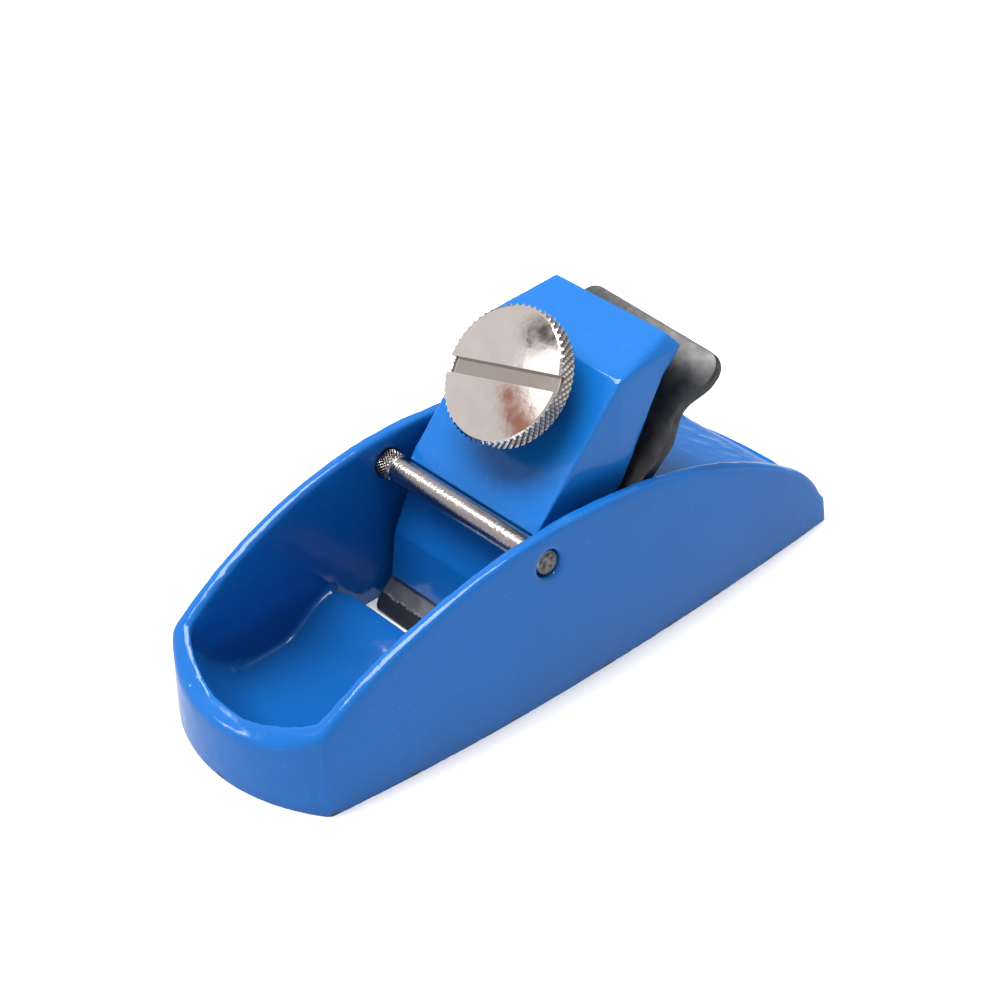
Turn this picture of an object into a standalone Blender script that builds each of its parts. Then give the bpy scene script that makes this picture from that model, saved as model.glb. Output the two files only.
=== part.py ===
"""Small block plane: body, blade, lever cap, thumbscrew and cross pin.

Frame: origin on the sole at the middle of the length, +X towards the toe, +Z up, metres.
"""
import math

import bmesh
import bpy
from mathutils import Matrix, Vector

MM = 0.001

# ---- driving dimensions -------------------------------------------------------------------
GAP = 0.3 * MM                      # left between pieces that touch
HALF_LENGTH = 44.5 * MM

# Plan of the body at the sole: each side is two parabolas that meet at the widest station.
WIDEST_X = 8.0 * MM
WIDEST_HALF = 16.25 * MM
FRONT_BOW = 1.65                    # per metre
REAR_BOW = 1.02
DRAFT = 0.0376                      # how far the sides lean in for each unit of height
TOE_CORNER_X = 39.56 * MM
HEEL_CORNER_X = -42.9 * MM
WALL = 2.8 * MM                     # measured at the sole; the draft thins it upwards
LIP_WIDTH = 2.5 * MM

# Side view of the body.
PEAK_X = 3.5 * MM
PEAK_Z = 22.9 * MM
FRONT_ARC = 60.0 * MM               # radii of the wall tops, in front of and behind the peak
REAR_ARC = 70.0 * MM
HEEL_ARC = 14.0 * MM                # a tighter arc takes the wall tops down at the heel,
HEEL_ARC_X = -37.6 * MM             # from this station
LIP_Z = 8.0 * MM
FLOOR_Z = 1.25 * MM                 # lowest point of the nose scoop
SCOOP_RUN = 7.5 * MM                # how far the scoop takes to rise to the lip
HUMP_START_X = 25.5 * MM
HUMP_END_X = 17.0 * MM
HUMP_Z = 4.95 * MM
MOUTH_FRONT_X = 15.9 * MM
HEEL_Z = 3.9 * MM
HEEL_EDGE_X = -44.2 * MM
RAMP_ANGLE = math.radians(23.5)

# Blade bed and blade.
BED_ANGLE = math.radians(43.0)
BLADE_FOOT_X = 11.8 * MM            # where the blade's front face meets the plane of the sole
BLADE_THICKNESS = 1.5 * MM
BLADE_HALF = 11.95 * MM
BLADE_TOP = 48.5 * MM               # distances along the blade are from the plane of the sole
BLADE_CORNER = 2.4 * MM
BLADE_SKEW = math.radians(2.35)     # the blade sits slightly askew on its bed,
SKEW_CENTRE = 19.0 * MM             # turned about this distance along it,
BLADE_SHIFT = 0.3 * MM              # and moved this much to +Y
WAIST_START = 36.1 * MM
WAIST_END = 45.5 * MM
WAIST_DEPTH = 1.45 * MM
EDGE_CLEARANCE = 0.03 * MM          # lowest corner of the cutting edge, at +Y, above the sole
BEVEL_ANGLE = math.radians(25.0)
BEVEL_RUN = 6.0 * MM                # longer than the bevel, for the wedge that cuts it
EDGE_TURN = math.radians(1.3)       # the edge is ground out of square, which undoes part of the skew

# Cross pin.
PIN_X = 6.67 * MM
PIN_Z = 18.89 * MM
PIN_RADIUS = 1.57 * MM
PIN_HOLE_RADIUS = 1.9 * MM
PIN_NEAR_END = 15.2 * MM
PIN_FAR_END = 15.1 * MM
PIN_CHAMFER = 0.25 * MM
COLLAR_RADIUS = 1.85 * MM
COLLAR_HOLE_RADIUS = 2.15 * MM
COLLAR_INNER_END = 11.9 * MM

# Lever cap: half widths; the corners of its side view are in cap_outline().
CAP_HALF = 11.4 * MM
CAP_RIDGE_X = -8.6 * MM             # behind the ridge the sides close in,
CAP_RIDGE_Z = 34.96 * MM
CAP_REAR_TAPER = 0.084              # by this much for each unit of length
CAP_TOP_TAPER = 0.53                # and of height
CAP_NOSE_HALF = 12.0 * MM           # the nose is wider,
CAP_FLARE_Z = 16.0 * MM             # from this height
CAP_NOSE_Z = 9.7 * MM               # to this one
CAP_RELIEF = 1.4 * MM               # between the hollow underside and the blade

# Thumbscrew: distances along its axis are measured back from the centre of the head's face.
SCREW_ANGLE = math.radians(41.4)
SCREW_FACE = Vector((-0.2, 0.0, 34.82)) * MM
HEAD_RADIUS = 8.7 * MM
HEAD_THICKNESS = 2.85 * MM
HEAD_CHAMFER = 0.35 * MM
SOCKET_DEPTH = 1.0 * MM
SLOT_WIDTH = 1.8 * MM
SLOT_DEPTH = 1.2 * MM
SLOT_TURN = math.radians(14.5)
STUD_RADIUS = 2.5 * MM
STUD_POINT_RADIUS = 1.8 * MM
STUD_POINT = 1.2 * MM
STUD_HOLE_RADIUS = 2.85 * MM
STUD_TIP = 17.0 * MM

# Cutters reach past the material by these distances.
SIDE_REACH = 20 * MM
END_REACH = 6 * MM
TOP_REACH = 30 * MM
BOTTOM_REACH = -3 * MM

BED_UP = Vector((-math.cos(BED_ANGLE), 0, math.sin(BED_ANGLE)))
BED_NORMAL = Vector((math.sin(BED_ANGLE), 0, math.cos(BED_ANGLE)))
SCREW_AXIS = Vector((math.cos(SCREW_ANGLE), 0, math.sin(SCREW_ANGLE)))
SIDEWAYS = Vector((0, 1, 0))


# ---- scene and modelling helpers -------------------------------------------------------------
def clear_scene():
    for obj in list(bpy.data.objects):
        bpy.data.objects.remove(obj, do_unlink=True)


def new_collection(name):
    collection = bpy.data.collections.new(name)
    bpy.context.scene.collection.children.link(collection)
    return collection


def new_material(name, colour, roughness, metallic=0.0):
    material = bpy.data.materials.new(name)
    material.use_nodes = True
    shader = material.node_tree.nodes["Principled BSDF"]
    shader.inputs["Base Color"].default_value = (*colour, 1.0)
    shader.inputs["Roughness"].default_value = roughness
    shader.inputs["Metallic"].default_value = metallic
    return material


def add_mesh(name, bm, collection, matrix=None):
    """Turn a bmesh into a linked object."""
    bmesh.ops.recalc_face_normals(bm, faces=bm.faces)
    mesh = bpy.data.meshes.new(name)
    bm.to_mesh(mesh)
    bm.free()
    obj = bpy.data.objects.new(name, mesh)
    if matrix is not None:
        obj.matrix_world = matrix
    collection.objects.link(obj)
    return obj


def frame_matrix(origin, x_axis, y_axis, z_axis):
    """A placement whose local axes point along the three given directions."""
    rotation = Matrix((x_axis, y_axis, z_axis)).transposed().to_4x4()
    return Matrix.Translation(origin) @ rotation


def loft(name, rings, collection):
    """A closed solid through rings that hold the same number of points."""
    bm = bmesh.new()
    loops = [[bm.verts.new(point) for point in ring] for ring in rings]
    count = len(rings[0])
    for lower, upper in zip(loops, loops[1:]):
        for i in range(count):
            j = (i + 1) % count
            bm.faces.new((lower[i], lower[j], upper[j], upper[i]))
    bm.faces.new(loops[0])
    bm.faces.new(loops[-1])
    return add_mesh(name, bm, collection)


def flat_solid(name, outline, half_thickness, matrix, collection):
    """A flat outline in the local XY plane, thickened to both sides, as a welded mesh."""
    curve = bpy.data.curves.new(name, "CURVE")
    curve.dimensions = "2D"
    curve.fill_mode = "BOTH"
    curve.extrude = half_thickness
    spline = curve.splines.new("POLY")
    spline.points.add(len(outline) - 1)
    for point, (x, y) in zip(spline.points, outline):
        point.co = (x, y, 0, 1)
    spline.use_cyclic_u = True
    source = bpy.data.objects.new(name, curve)
    source.matrix_world = matrix
    collection.objects.link(source)
    bpy.context.view_layer.update()
    evaluated = source.evaluated_get(bpy.context.evaluated_depsgraph_get())
    bm = bmesh.new()
    bm.from_mesh(bpy.data.meshes.new_from_object(evaluated))
    bmesh.ops.remove_doubles(bm, verts=bm.verts, dist=1e-7)
    bpy.data.objects.remove(source, do_unlink=True)
    return add_mesh(name, bm, collection, matrix)


def side_view():
    """Placement for outlines drawn as (x, z), to be thickened along Y."""
    return frame_matrix(Vector((0, 0, 0)), Vector((1, 0, 0)), Vector((0, 0, 1)), -SIDEWAYS)


def turned(name, profile, matrix, collection, steps=48):
    """A solid of revolution about local Z from (radius, height) points, top to bottom."""
    bm = bmesh.new()
    verts = [bm.verts.new((radius, 0, height)) for radius, height in profile]
    for first, second in zip(verts, verts[1:]):
        bm.edges.new((first, second))
    mesh = bpy.data.meshes.new(name)
    bm.to_mesh(mesh)
    bm.free()
    obj = bpy.data.objects.new(name, mesh)
    obj.matrix_world = matrix
    collection.objects.link(obj)
    screw = obj.modifiers.new("turn", "SCREW")
    screw.steps = steps
    screw.render_steps = steps
    screw.use_merge_vertices = True
    screw.merge_threshold = 1e-6
    screw.use_smooth_shade = False
    return obj


def bar(name, radius, start, end, collection, steps=32):
    """A round bar between two points, with flat ends."""
    length = (end - start).length
    bm = bmesh.new()
    bmesh.ops.create_cone(
        bm, cap_ends=True, segments=steps, radius1=radius, radius2=radius, depth=length)
    turn = (end - start).to_track_quat("Z", "Y").to_matrix().to_4x4()
    return add_mesh(name, bm, collection, Matrix.Translation((start + end) / 2) @ turn)


def combine(target, tool, operation="DIFFERENCE"):
    """Cut, join or intersect the target with a tool, which stays as a hidden object."""
    modifier = target.modifiers.new(tool.name, "BOOLEAN")
    modifier.object = tool
    modifier.operation = operation
    modifier.solver = "EXACT"
    tool.hide_render = True
    tool.display_type = "WIRE"


# ---- outlines shared by several pieces --------------------------------------------------------
def half_width(x):
    """Half the width of the sole at station x."""
    bow = FRONT_BOW if x > WIDEST_X else REAR_BOW
    return WIDEST_HALF - bow * (x - WIDEST_X) ** 2


def arc(centre, radius, start, end, steps):
    """Points along an arc, angles in degrees."""
    points = []
    for i in range(steps + 1):
        angle = math.radians(start + (end - start) * i / steps)
        points.append((centre[0] + radius * math.cos(angle), centre[1] + radius * math.sin(angle)))
    return points


def end_arc(corner_x, half, tip_x, steps):
    """An arc through both corners of an end and its tip, from the -Y corner to the +Y one."""
    rise = abs(tip_x - corner_x)
    radius = (half ** 2 + rise ** 2) / (2 * rise)
    outward = 1 if tip_x > corner_x else -1
    centre_x = tip_x - outward * radius
    spread = math.asin(half / radius)
    points = []
    for i in range(steps + 1):
        angle = spread * (2 * i / steps - 1)
        points.append((centre_x + outward * radius * math.cos(angle), radius * math.sin(angle)))
    return points, centre_x, radius


def side_stations(front_x, rear_x, steps=16):
    """Stations from the front corner to the rear one, without the corners themselves."""
    return [front_x + (rear_x - front_x) * i / steps for i in range(1, steps)]


def hull_ring(height):
    """Outline of the body at a height, counter-clockwise from the toe's -Y corner."""
    toe, _, _ = end_arc(TOE_CORNER_X, half_width(TOE_CORNER_X), HALF_LENGTH, 16)
    heel, _, _ = end_arc(HEEL_CORNER_X, half_width(HEEL_CORNER_X), -HALF_LENGTH, 8)
    left = [(x, half_width(x)) for x in side_stations(TOE_CORNER_X, HEEL_CORNER_X)]
    right = [(x, -y) for x, y in reversed(left)]
    plan = toe + left + heel[::-1] + right
    return [(x, y * (1 - DRAFT * height / half_width(x)), height) for x, y in plan]


def well_ring(height):
    """Outline of the space between the walls; its front follows the lip and the scoop."""
    _, centre_x, toe_radius = end_arc(TOE_CORNER_X, half_width(TOE_CORNER_X), HALF_LENGTH, 2)
    rise = min(max((height - FLOOR_Z) / (LIP_Z - FLOOR_Z), 0), 1)
    radius = toe_radius - LIP_WIDTH - SCOOP_RUN * (1 - math.sqrt(rise))
    corner_x = centre_x
    while math.hypot(corner_x - centre_x, half_width(corner_x) - WALL) < radius:
        corner_x += 0.05 * MM
    front_angle = math.degrees(math.atan2(half_width(corner_x) - WALL, corner_x - centre_x))
    front = arc((centre_x, 0), radius, -front_angle, front_angle, 16)
    rear_x = -HALF_LENGTH - 4 * MM
    left = [(x, half_width(x) - WALL) for x in side_stations(corner_x, rear_x)]
    left.append((rear_x, half_width(rear_x) - WALL))
    right = [(x, -y) for x, y in reversed(left)]
    return [(x, y, height) for x, y in front + left + right]


def on_blade(along, above=0.0):
    """Side-view point (x, z) at a distance up the blade's front face and above it."""
    point = Vector((BLADE_FOOT_X, 0, 0)) + BED_UP * along + BED_NORMAL * above
    return point.x, point.z


def scoop_outline():
    """Side view of everything that is open between the walls."""
    hump = []
    for i in range(9):
        part = i / 8
        x = HUMP_START_X + (HUMP_END_X - HUMP_START_X) * part
        hump.append((x, FLOOR_Z + (HUMP_Z - FLOOR_Z) * part * part * (3 - 2 * part)))
    # The bed meets the sole at bed_foot, and the rear ramp at the ridge.
    bed_foot = BLADE_FOOT_X - (BLADE_THICKNESS + GAP) / math.sin(BED_ANGLE)
    bed_slope = math.tan(BED_ANGLE)
    slope = math.tan(RAMP_ANGLE)
    ridge_x = (bed_foot * bed_slope - HEEL_Z + slope * HEEL_EDGE_X) / (bed_slope + slope)
    ridge_z = (bed_foot - ridge_x) * bed_slope
    front_x = HALF_LENGTH + END_REACH
    rear_x = -HALF_LENGTH - END_REACH
    rear_z = HEEL_Z + slope * (rear_x - HEEL_EDGE_X)
    return (
        [(front_x, TOP_REACH), (front_x, FLOOR_Z)] + hump
        + [(MOUTH_FRONT_X, HUMP_Z), (MOUTH_FRONT_X, BOTTOM_REACH), (bed_foot, BOTTOM_REACH), (bed_foot, 0)]
        + [(ridge_x, ridge_z), (rear_x, rear_z), (rear_x, TOP_REACH)]
    )


def above_walls_outline():
    """Side view of the space above the wall tops and the lip."""
    front_x = HALF_LENGTH + END_REACH
    rear_x = -HALF_LENGTH - 2 * MM
    lip_x = PEAK_X + math.sqrt(FRONT_ARC ** 2 - (FRONT_ARC - PEAK_Z + LIP_Z) ** 2)
    lip_angle = math.degrees(math.acos((lip_x - PEAK_X) / FRONT_ARC))
    turn = math.acos((HEEL_ARC_X - PEAK_X) / REAR_ARC)
    front = arc((PEAK_X, PEAK_Z - FRONT_ARC), FRONT_ARC, lip_angle, 90, 12)
    rear = arc((PEAK_X, PEAK_Z - REAR_ARC), REAR_ARC, 90, math.degrees(turn), 12)
    # The heel's arc is tangent to the rear one and ends level with the rear end of the ramp.
    heel_x = PEAK_X + (REAR_ARC - HEEL_ARC) * math.cos(turn)
    heel_z = PEAK_Z - REAR_ARC + (REAR_ARC - HEEL_ARC) * math.sin(turn)
    heel_end = 180 - math.degrees(math.asin((HEEL_Z - heel_z) / HEEL_ARC))
    heel = arc((heel_x, heel_z), HEEL_ARC, math.degrees(turn), heel_end, 6)
    return (
        [(front_x, TOP_REACH), (front_x, LIP_Z)] + front + rear[1:] + heel[1:]
        + [(rear_x, HEEL_Z), (rear_x, TOP_REACH)]
    )


# ---- pieces ----------------------------------------------------------------------------------
def make_body(parts, cutters):
    body = loft("body", [hull_ring(0), hull_ring(PEAK_Z + 1 * MM)], parts)
    above = flat_solid("above_walls", above_walls_outline(), SIDE_REACH, side_view(), cutters)
    levels = [FLOOR_Z + (LIP_Z - FLOOR_Z) * (i / 5) ** 2 for i in range(6)]
    heights = [BOTTOM_REACH - 1 * MM] + levels + [TOP_REACH + 1 * MM]
    well = loft("well", [well_ring(height) for height in heights], cutters)
    scoop = flat_solid("scoop", scoop_outline(), SIDE_REACH, side_view(), cutters)
    combine(well, scoop, "INTERSECT")
    combine(body, above)
    combine(body, well)
    centre = Vector((PIN_X, 0, PIN_Z))
    outside = SIDEWAYS * SIDE_REACH
    combine(body, bar("near_pin_hole", PIN_HOLE_RADIUS, centre, centre + outside, cutters))
    combine(body, bar("far_pin_hole", COLLAR_HOLE_RADIUS, centre - outside, centre, cutters))
    body.data.materials.append(new_material("blue_enamel", (0.01, 0.13, 0.55), 0.25))
    return body


def cutting_edge(y):
    """Distance along the blade of its cutting edge, y across from its middle line."""
    corner = EDGE_CLEARANCE / math.sin(BED_ANGLE) + BLADE_HALF * math.sin(BLADE_SKEW)
    return corner - (BLADE_HALF - y) * math.tan(EDGE_TURN)


def blade_outline():
    """Outline of the blade about the skew's centre: one side, its mirror image and the edge."""
    side = [(BLADE_HALF, WAIST_START)]
    for i in range(1, 12):
        part = i / 12
        inward = WAIST_DEPTH * (0.5 - 0.5 * math.cos(2 * math.pi * part))
        side.append((BLADE_HALF - inward, WAIST_START + (WAIST_END - WAIST_START) * part))
    side.append((BLADE_HALF, WAIST_END))
    side += arc((BLADE_HALF - BLADE_CORNER, BLADE_TOP - BLADE_CORNER), BLADE_CORNER, 0, 90, 8)
    other_side = [(-y, along) for y, along in reversed(side)]
    corners = [(y, cutting_edge(y)) for y in (-BLADE_HALF, BLADE_HALF)]
    return [(y, along - SKEW_CENTRE) for y, along in side + other_side + corners]


def make_blade(parts, cutters):
    """The blade lies on its bed, turned slightly about the middle of the clamped stretch."""
    x, z = on_blade(SKEW_CENTRE)
    front_face = frame_matrix(Vector((x, BLADE_SHIFT, z)), SIDEWAYS, BED_UP, BED_NORMAL)
    skewed = front_face @ Matrix.Rotation(-BLADE_SKEW, 4, "Z")
    half = BLADE_THICKNESS / 2
    placed = skewed @ Matrix.Translation((0, 0, -half))
    blade = flat_solid("blade", blade_outline(), half, placed, parts)
    # The ground bevel faces the bed: a wedge taken off under the cutting edge.
    slope = math.tan(BEVEL_ANGLE)
    wedge = [(-BEVEL_RUN, BEVEL_RUN * slope), (BEVEL_RUN, -BEVEL_RUN * slope),
             (BEVEL_RUN, -2 * BEVEL_RUN), (-BEVEL_RUN, -2 * BEVEL_RUN)]
    corner = Matrix.Translation((BLADE_HALF, cutting_edge(BLADE_HALF) - SKEW_CENTRE, 0))
    from_side = frame_matrix(Vector((0, 0, 0)), Vector((0, 1, 0)), Vector((0, 0, 1)), Vector((1, 0, 0)))
    ground = skewed @ corner @ Matrix.Rotation(EDGE_TURN, 4, "Z") @ from_side
    combine(blade, flat_solid("blade_bevel", wedge, 2 * SIDE_REACH, ground, cutters))
    blade.data.materials.append(new_material("dark_steel", (0.12, 0.12, 0.12), 0.4, 1.0))
    return blade


def cap_outline():
    """Side view of the lever cap, from its top end down the front and back up the underside."""
    groove = arc((PIN_X, PIN_Z), PIN_RADIUS + GAP, 150, 232, 6)
    return (
        [(-17.9 * MM, 36.95 * MM), (CAP_RIDGE_X, CAP_RIDGE_Z), (4.3 * MM, 20.9 * MM)] + groove
        + [(5.75 * MM, 15.2 * MM), (7.75 * MM, 10.2 * MM)]
        + [on_blade(4.9 * MM, 2 * GAP), on_blade(5.3 * MM, GAP), on_blade(7.9 * MM, GAP)]
        + [on_blade(10.3 * MM, CAP_RELIEF), on_blade(26.3 * MM, CAP_RELIEF)]
        + [(-9.04 * MM, 21.1 * MM), (-15.85 * MM, 31.96 * MM), (-19.3 * MM, 34.95 * MM)]
    )


def cap_half_width(x, z):
    """The cap narrows towards its top end and widens a little towards its nose."""
    taper = CAP_REAR_TAPER * max(CAP_RIDGE_X - x, 0) + CAP_TOP_TAPER * max(z - CAP_RIDGE_Z, 0)
    flare = min(max((CAP_FLARE_Z - z) / (CAP_FLARE_Z - CAP_NOSE_Z), 0), 1)
    return CAP_HALF - taper + (CAP_NOSE_HALF - CAP_HALF) * flare


def fold_cap_sides(mesh):
    """Set every point of the cap's sides to its half width, with clean folds where the taper changes."""
    bm = bmesh.new()
    bm.from_mesh(mesh)
    ridge = Vector((CAP_RIDGE_X - PIN_X, CAP_RIDGE_Z - PIN_Z, 0))
    flare = Vector((0, CAP_FLARE_Z - PIN_Z, 0))
    nose = Vector((0, CAP_NOSE_Z - PIN_Z, 0))
    folds = [(ridge, (1, 0, 0)), (ridge, (0, 1, 0)), (flare, (0, 1, 0)), (nose, (0, 1, 0))]
    for point, direction in folds:
        everything = bm.verts[:] + bm.edges[:] + bm.faces[:]
        bmesh.ops.bisect_plane(bm, geom=everything, dist=1e-7, plane_co=point, plane_no=direction)
    for vertex in bm.verts:
        half = cap_half_width(vertex.co.x + PIN_X, vertex.co.y + PIN_Z)
        vertex.co.z = math.copysign(half, vertex.co.z)
    bm.to_mesh(mesh)
    bm.free()


def make_lever_cap(parts, cutters):
    """The cap's origin is on the cross pin's axis, about which it rocks."""
    outline = [(x - PIN_X, z - PIN_Z) for x, z in cap_outline()]
    placed = Matrix.Translation((PIN_X, 0, PIN_Z)) @ side_view()
    cap = flat_solid("lever_cap", outline, CAP_HALF, placed, parts)
    fold_cap_sides(cap.data)
    under = SCREW_FACE - SCREW_AXIS * TOP_REACH
    combine(cap, bar("stud_hole", STUD_HOLE_RADIUS, SCREW_FACE, under, cutters))
    cap.data.materials.append(new_material("blue_enamel_cap", (0.01, 0.15, 0.6), 0.25))
    return cap


def on_screw_axis():
    """Placement with local Z out along the screw and the origin at the centre of its face."""
    return frame_matrix(SCREW_FACE, SIDEWAYS.cross(SCREW_AXIS), SIDEWAYS, SCREW_AXIS)


def make_thumbscrew_head(parts, cutters):
    """The screw's slotted disc, with a socket in its back for the stud."""
    placed = on_screw_axis()
    inner = HEAD_RADIUS - HEAD_CHAMFER
    profile = [(0, 0), (inner, 0), (HEAD_RADIUS, -HEAD_CHAMFER),
               (HEAD_RADIUS, HEAD_CHAMFER - HEAD_THICKNESS), (inner, -HEAD_THICKNESS), (0, -HEAD_THICKNESS)]
    head = turned("thumbscrew_head", profile, placed, parts)
    bm = bmesh.new()
    bmesh.ops.create_cube(bm, size=1.0)
    bmesh.ops.scale(bm, vec=(SLOT_WIDTH, 4 * HEAD_RADIUS, 2 * SLOT_DEPTH), verts=bm.verts)
    slot = add_mesh("slot", bm, cutters, placed @ Matrix.Rotation(SLOT_TURN, 4, "Z"))
    combine(head, slot)
    socket_floor = SCREW_FACE - SCREW_AXIS * (HEAD_THICKNESS - SOCKET_DEPTH)
    behind = SCREW_FACE - SCREW_AXIS * 2 * HEAD_THICKNESS
    combine(head, bar("stud_socket", STUD_HOLE_RADIUS, socket_floor, behind, cutters))
    head.data.materials.append(new_material("nickel_plate", (0.66, 0.61, 0.57), 0.15, 1.0))
    return head


def make_thumbscrew_stud(parts):
    """The screw's threaded shank, which bears on the blade with its point."""
    top = -(HEAD_THICKNESS - SOCKET_DEPTH + GAP)
    shoulder = STUD_POINT - STUD_TIP
    profile = [(0, top), (STUD_RADIUS, top), (STUD_RADIUS, shoulder),
               (STUD_POINT_RADIUS, shoulder - 0.4 * MM), (STUD_POINT_RADIUS, -STUD_TIP), (0, -STUD_TIP)]
    stud = turned("thumbscrew_stud", profile, on_screw_axis(), parts, steps=32)
    stud.data.materials.append(new_material("zinc_steel", (0.55, 0.54, 0.52), 0.3, 1.0))
    return stud


def make_cross_pin(parts):
    """A straight pin along Y with a thicker knurled stretch at its -Y end."""
    placed = frame_matrix(Vector((PIN_X, 0, PIN_Z)), Vector((0, 0, 1)), Vector((1, 0, 0)), SIDEWAYS)
    profile = [
        (0, PIN_NEAR_END), (PIN_RADIUS - PIN_CHAMFER, PIN_NEAR_END),
        (PIN_RADIUS, PIN_NEAR_END - PIN_CHAMFER), (PIN_RADIUS, PIN_CHAMFER - COLLAR_INNER_END),
        (COLLAR_RADIUS, -COLLAR_INNER_END), (COLLAR_RADIUS, PIN_CHAMFER - PIN_FAR_END),
        (COLLAR_RADIUS - PIN_CHAMFER, -PIN_FAR_END), (0, -PIN_FAR_END),
    ]
    pin = turned("cross_pin", profile, placed, parts, steps=32)
    pin.data.materials.append(new_material("bright_steel", (0.62, 0.6, 0.58), 0.2, 1.0))
    return pin


def main():
    clear_scene()
    parts = new_collection("block_plane")
    cutters = new_collection("cutters")
    make_body(parts, cutters)
    make_blade(parts, cutters)
    make_lever_cap(parts, cutters)
    make_thumbscrew_head(parts, cutters)
    make_thumbscrew_stud(parts)
    make_cross_pin(parts)


main()
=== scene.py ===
"""The looks of the small block plane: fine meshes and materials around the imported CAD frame."""
import math

import bmesh
import bpy
import numpy as np
from mathutils import Matrix, Vector, noise


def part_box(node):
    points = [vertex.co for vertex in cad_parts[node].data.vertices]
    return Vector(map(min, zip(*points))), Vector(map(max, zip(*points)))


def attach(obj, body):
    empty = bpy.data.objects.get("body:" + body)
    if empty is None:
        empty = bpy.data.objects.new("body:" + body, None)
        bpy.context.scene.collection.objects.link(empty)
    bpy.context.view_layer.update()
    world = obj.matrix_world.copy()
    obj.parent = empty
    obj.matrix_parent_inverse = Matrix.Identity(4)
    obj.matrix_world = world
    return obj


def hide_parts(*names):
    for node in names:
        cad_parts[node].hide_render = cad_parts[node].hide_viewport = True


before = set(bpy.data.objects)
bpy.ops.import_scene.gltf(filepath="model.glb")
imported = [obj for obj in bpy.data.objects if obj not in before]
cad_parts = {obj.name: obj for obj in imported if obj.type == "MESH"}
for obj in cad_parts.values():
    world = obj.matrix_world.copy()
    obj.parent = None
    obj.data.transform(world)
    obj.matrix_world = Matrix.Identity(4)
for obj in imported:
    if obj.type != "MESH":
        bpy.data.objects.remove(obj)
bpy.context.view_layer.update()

MM = 0.001
body_low, body_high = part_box("body")

# ---- dimensions, the same ones that the CAD has -------------------------------------------------
HALF_LENGTH = body_high.x
WIDEST_HALF = body_high.y
PEAK_Z = body_high.z
WIDEST_X = 8.0 * MM
# The half width shrinks by bow * distance ** 2 from the widest station, all in metres.
FRONT_BOW = 1.65
REAR_BOW = 1.02
# The walls lean in by this much per metre of height.
DRAFT = 0.0376
TOE_CORNER_X = 39.56 * MM
HEEL_CORNER_X = -42.9 * MM
WALL = 2.8 * MM
LIP_WIDTH = 2.5 * MM
PEAK_X = 3.5 * MM
FRONT_ARC = 60.0 * MM
REAR_ARC = 70.0 * MM
HEEL_ARC = 14.0 * MM
HEEL_ARC_X = -37.6 * MM
LIP_Z = 8.0 * MM
FLOOR_Z = 1.25 * MM
SCOOP_RUN = 7.5 * MM
HUMP_START_X = 25.5 * MM
HUMP_END_X = 17.0 * MM
HUMP_Z = 5.05 * MM
MOUTH_FRONT_X = 15.6 * MM
MOUTH_CORNER = 2.7 * MM
HEEL_Z = 3.9 * MM
WALL_END_Z = 3.3 * MM
HEEL_EDGE_X = -44.2 * MM
RAMP_ANGLE = math.radians(23.5)

BED_ANGLE = math.radians(43.0)
BLADE_FOOT_X = 11.8 * MM
BLADE_THICKNESS = 1.5 * MM
BLADE_HALF = 11.95 * MM
BLADE_EDGE = 0.53 * MM
BLADE_TOP = 48.5 * MM
BLADE_CORNER = 2.4 * MM
BLADE_SKEW = math.radians(2.35)
SKEW_CENTRE = 19.0 * MM
BLADE_SHIFT = 0.3 * MM
WAIST_START = 36.1 * MM
WAIST_END = 45.5 * MM
WAIST_DEPTH = 1.45 * MM
BEVEL_ANGLE = math.radians(25.0)
EDGE_TURN = math.radians(1.3)
GAP = 0.3 * MM

PIN_X = 6.67 * MM
PIN_Z = 18.89 * MM
PIN_RADIUS = 1.57 * MM
PIN_HOLE_RADIUS = 1.8 * MM
PIN_NEAR_END = 15.2 * MM
PIN_FAR_END = 15.1 * MM
COLLAR_RADIUS = 1.85 * MM
COLLAR_HOLE_RADIUS = 1.8 * MM
COLLAR_INNER_END = 11.9 * MM
COLLAR_LEAD_IN = 0.35 * MM

CAP_HALF = 11.4 * MM
CAP_RIDGE_X = -8.6 * MM
CAP_RIDGE_Z = 34.96 * MM
CAP_TAIL_X = -17.9 * MM
CAP_TAIL_Z = 36.95 * MM
CAP_TAIL_HALF = 9.2 * MM
CAP_RELIEF = 1.4 * MM
# Half width lost per metre behind the ridge and above it; the two sides differ.
CAP_REAR_TAPER = 0.084
CAP_TOP_TAPER_NEAR = 0.6
CAP_TOP_TAPER_FAR = 0.46
CAP_NOSE_HALF = 12.0 * MM
CAP_FLARE_Z = 16.0 * MM
CAP_NOSE_Z = 9.7 * MM

SCREW_ANGLE = math.radians(41.4)
SCREW_FACE = Vector((-0.2, 0.0, 34.82)) * MM
HEAD_RADIUS = 8.7 * MM
HEAD_THICKNESS = 2.85 * MM
SOCKET_DEPTH = 1.0 * MM
SLOT_WIDTH = 2.0 * MM
SLOT_DEPTH = 1.2 * MM
SLOT_TURN = math.radians(14.5)
STUD_RADIUS = 2.5 * MM
STUD_POINT_RADIUS = 1.8 * MM
STUD_HOLE_RADIUS = 2.8 * MM
STUD_TIP = 17.0 * MM
THREAD_PITCH = 0.8 * MM
THREAD_DEPTH = 0.42 * MM

BED_UP = Vector((-math.cos(BED_ANGLE), 0, math.sin(BED_ANGLE)))
BED_NORMAL = Vector((math.sin(BED_ANGLE), 0, math.cos(BED_ANGLE)))
SCREW_AXIS = Vector((math.cos(SCREW_ANGLE), 0, math.sin(SCREW_ANGLE)))
FORWARD = Vector((1, 0, 0))
SIDEWAYS = Vector((0, 1, 0))
UP = Vector((0, 0, 1))
ORIGIN = Vector((0, 0, 0))

# How far cutting tools and outlines run past what they cut.
PAST_ENDS = 6 * MM
TOOL_REACH = 20 * MM

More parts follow.
